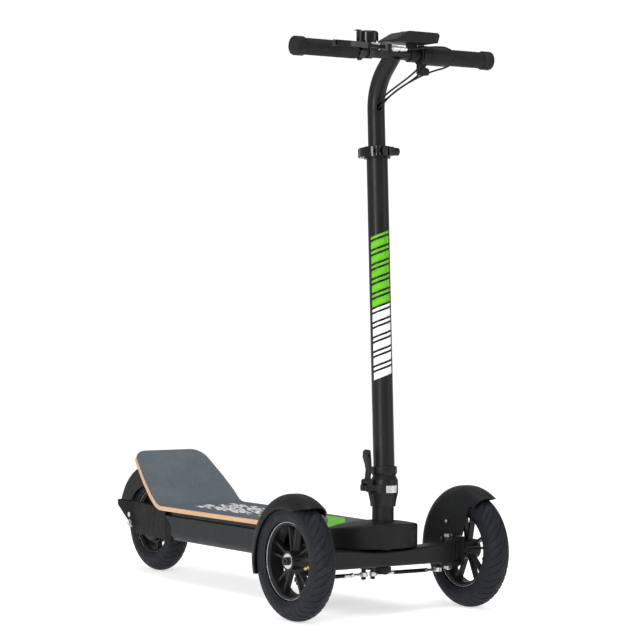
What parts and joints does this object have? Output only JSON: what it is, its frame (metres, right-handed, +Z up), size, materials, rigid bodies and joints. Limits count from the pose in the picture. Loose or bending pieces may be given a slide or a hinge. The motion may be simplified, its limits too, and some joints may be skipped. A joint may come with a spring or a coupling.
{
  "type": "electric stand-up board",
  "caption": "Electric stand-up board with a plywood deck and raised tail, a steered wheel at each front corner, a hub motor wheel behind, and a folding, height-adjustable mast with a handlebar.",
  "frame": {"origin": "on the ground under the middle of the whole machine", "axes": "+Z up, -Y is the riding direction, +X is the rider's left"},
  "size_m": [0.511, 1.1857, 1.2244],
  "materials": {
    "wood": "maple plywood edge, clear lacquer",
    "grip": "sanded grip tape, slate grey",
    "black_alloy": "satin black powder coat",
    "black_steel": "satin black paint",
    "hull_plastic": "moulded dark grey plastic",
    "black_plastic": "fine grained black plastic",
    "gloss_black": "glossy black",
    "inner_plastic": "shrink wrapped cells",
    "steel": "zinc plated",
    "brass": "bare brass with a black cap",
    "tyre": "grooved tread",
    "grip_rubber": "soft black rubber",
    "cable": "black jacket",
    "screen": "dark display window"
  },
  "bodies": {
    "chassis": {"deck_board": "wood", "grip_tape": "grip", "top_plate": "black_alloy", "battery_tray": "hull_plastic", "battery_pack": "inner_plastic", "controller": "black_alloy", "charge_socket": "black_plastic", "nose_cover": "black_plastic", "front_beam": "black_alloy", "kingpins": "steel", "rear_arms": "black_alloy", "rear_axle": "steel", "rear_fender": "black_plastic", "brake_caliper": "black_alloy"},
    "rear_wheel": {"rear_tyre": "tyre", "rear_rim": "black_alloy", "hub_motor": "black_steel", "brake_disc": "steel"},
    "column": {"steering_shaft": "black_steel", "pitman_arm": "black_steel", "fold_cup": "black_alloy", "fold_pin": "steel", "latch_plate": "steel"},
    "fold_lever": {"fold_lever": "black_alloy"},
    "mast": {"fold_head": "black_alloy", "mast_tube": "black_alloy", "clamp_collar": "black_alloy", "clamp_bolt": "black_steel"},
    "clamp_lever": {"clamp_lever": "gloss_black"},
    "post": {"post_tube": "black_alloy", "handlebar": "black_alloy", "grip_right": "grip_rubber", "grip_left": "grip_rubber", "brake_perch": "gloss_black", "cable_adjuster": "steel", "bell_body": "gloss_black", "display_case": "black_plastic", "display_screen": "screen", "throttle_case": "black_plastic", "brake_cable": "cable", "display_cable": "cable", "throttle_cable": "cable"},
    "brake_lever": {"brake_lever": "gloss_black"},
    "throttle_paddle": {"throttle_paddle": "black_plastic"},
    "bell_striker": {"bell_striker": "gloss_black"},
    "display_button": {"display_button": "gloss_black"},
    "knuckle_right": {"knuckle_right": "black_steel", "fender_right": "black_plastic"},
    "wheel_right": {"tyre_right": "tyre", "rim_right": "black_alloy", "bearings_right": "steel", "valve_right": "brass"},
    "tie_rod_right": {"tie_rod_right": "steel"},
    "knuckle_left": {"knuckle_left": "black_steel", "fender_left": "black_plastic"},
    "wheel_left": {"tyre_left": "tyre", "rim_left": "black_alloy", "bearings_left": "steel", "valve_left": "brass"},
    "tie_rod_left": {"tie_rod_left": "steel"}
  },
  "joints": [
    {"name": "steer", "type": "hinge", "parent": "chassis", "child": "column", "pos_m": [0, -0.46287, 0.15], "axis": [0, 0, 1], "range_deg": [-25, 25]},
    {"name": "mast_fold", "type": "hinge", "parent": "column", "child": "mast", "pos_m": [0, -0.42687, 0.275], "axis": [-1, 0, 0], "range_deg": [0, 88]},
    {"name": "fold_lever_turn", "type": "hinge", "parent": "column", "child": "fold_lever", "pos_m": [-0.042, -0.46287, 0.2795], "axis": [0, -1, 0], "range_deg": [0, 75]},
    {"name": "height_slide", "type": "slide", "parent": "mast", "child": "post", "axis": [0, 0.0506, 0.9987], "range_m": [-0.06, 0.1]},
    {"name": "clamp_lever_turn", "type": "hinge", "parent": "mast", "child": "clamp_lever", "pos_m": [-0.0235, -0.46604, 0.97435], "axis": [0, 0.0506, 0.9987], "range_deg": [0, 120]},
    {"name": "brake_pull", "type": "hinge", "parent": "post", "child": "brake_lever", "pos_m": [-0.058, -0.52887, 1.1835], "axis": [0, 0, -1], "range_deg": [0, 12], "stiffness_Nm_per_rad": 2, "springref_deg": -5.73},
    {"name": "throttle_press", "type": "hinge", "parent": "post", "child": "throttle_paddle", "pos_m": [0.075, -0.49087, 1.178], "axis": [-1, 0, 0], "range_deg": [0, 30], "stiffness_Nm_per_rad": 0.5, "springref_deg": -11.46},
    {"name": "bell_strike", "type": "hinge", "parent": "post", "child": "bell_striker", "pos_m": [-0.0905, -0.49087, 1.1977], "axis": [0, -1, 0], "range_deg": [0, 20], "stiffness_Nm_per_rad": 0.1, "springref_deg": -11.46},
    {"name": "display_button_press", "type": "slide", "parent": "post", "child": "display_button", "axis": [0, 0, -1], "range_m": [0, 0.001], "stiffness_N_per_m": 400, "springref_m": -0.001},
    {"name": "rear_wheel_spin", "type": "hinge", "parent": "chassis", "child": "rear_wheel", "pos_m": [0, 0.46413, 0.118], "axis": [1, 0, 0], "continuous": true},
    {"name": "knuckle_right_turn", "type": "hinge", "parent": "chassis", "child": "knuckle_right", "pos_m": [-0.17, -0.46787, 0.125], "axis": [0, 0, 1], "range_deg": [-25, 25]},
    {"name": "wheel_right_spin", "type": "hinge", "parent": "knuckle_right", "child": "wheel_right", "pos_m": [-0.224, -0.46787, 0.125], "axis": [1, 0, 0], "continuous": true},
    {"name": "tie_rod_right_turn", "type": "hinge", "parent": "knuckle_right", "child": "tie_rod_right", "pos_m": [-0.182, -0.41587, 0.078], "axis": [0, 0, 1], "range_deg": [-25, 25]},
    {"name": "knuckle_left_turn", "type": "hinge", "parent": "chassis", "child": "knuckle_left", "pos_m": [0.17, -0.46787, 0.125], "axis": [0, 0, 1], "range_deg": [-25, 25]},
    {"name": "wheel_left_spin", "type": "hinge", "parent": "knuckle_left", "child": "wheel_left", "pos_m": [0.224, -0.46787, 0.125], "axis": [1, 0, 0], "continuous": true},
    {"name": "tie_rod_left_turn", "type": "hinge", "parent": "knuckle_left", "child": "tie_rod_left", "pos_m": [0.182, -0.41587, 0.078], "axis": [0, 0, 1], "range_deg": [-25, 25]}
  ],
  "couplings": [
    {"joint": "knuckle_right_turn", "follows": "steer", "ratio": 1},
    {"joint": "tie_rod_right_turn", "follows": "steer", "ratio": -1},
    {"joint": "knuckle_left_turn", "follows": "steer", "ratio": 1},
    {"joint": "tie_rod_left_turn", "follows": "steer", "ratio": -1}
  ]
}
